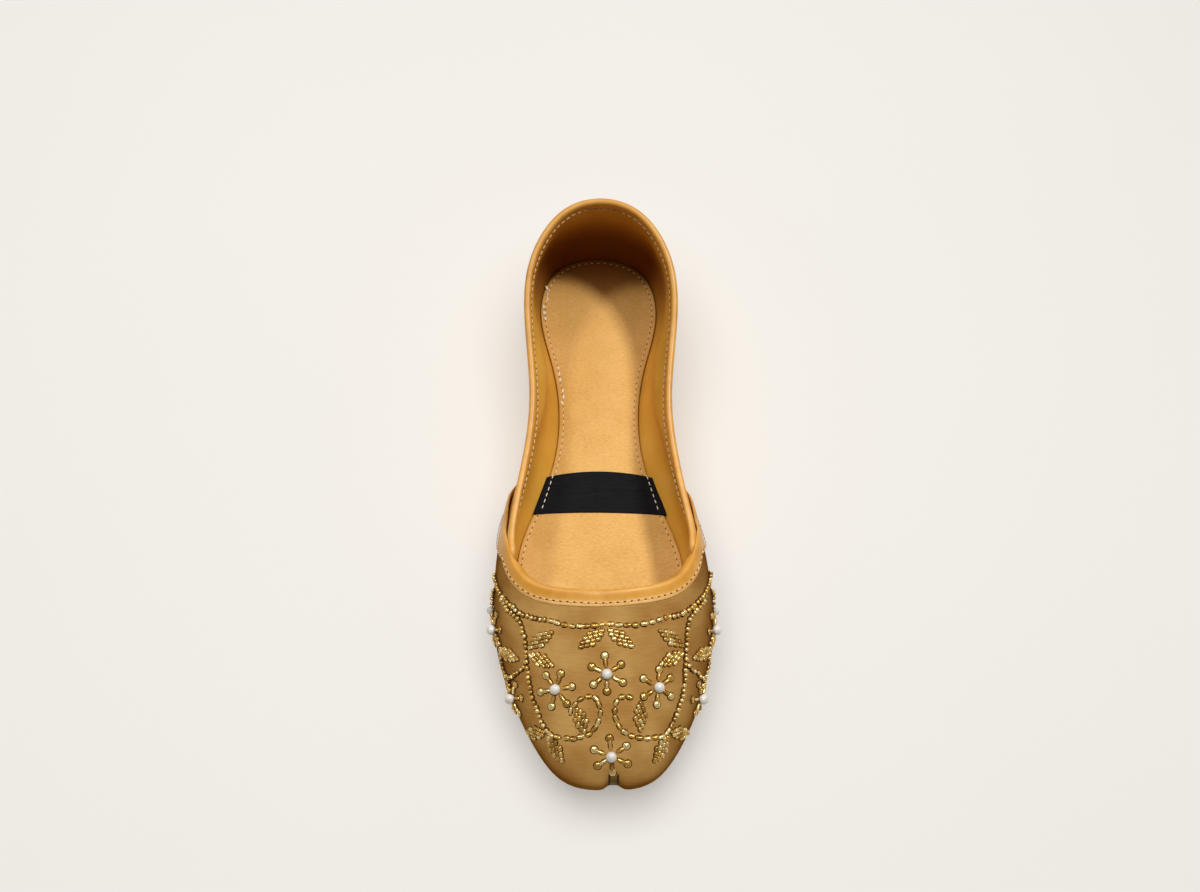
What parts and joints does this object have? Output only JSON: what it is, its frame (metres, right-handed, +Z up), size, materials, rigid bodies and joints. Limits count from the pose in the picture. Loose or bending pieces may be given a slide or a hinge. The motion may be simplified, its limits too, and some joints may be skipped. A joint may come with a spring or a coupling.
{
  "type": "mojari shoe",
  "caption": "Flat slip-on khussa shoe: beaded cloth vamp over leather quarters, folded leather bindings, low cleft toe, insole and leather outsole.",
  "frame": {"origin": "on the floor under the middle of the heel", "axes": "+Z up, the toe points to -Y, +X is the inner side of this right shoe"},
  "size_m": [0.0888, 0.2489, 0.0595],
  "materials": {
    "sole_leather": "burnished veg-tan sole leather",
    "insole_suede": "soft matt tan sock leather",
    "vamp_cloth": "golden brown slubbed raw silk",
    "quarter_leather": "smooth waxed tan leather",
    "binding_leather": "polished orange tan leather with paler folds",
    "thread": "waxed cream thread",
    "label_cloth": "bare black woven band",
    "gilt_beads": "antique gold seed and bugle beads",
    "pearl": "nacreous white faux pearl"
  },
  "bodies": {
    "root": {"outsole": "sole_leather", "insole": "insole_suede", "upper": "vamp_cloth", "vamp_binding": "binding_leather", "quarter_binding": "binding_leather", "toe_tab": "binding_leather"}
  },
  "joints": []
}
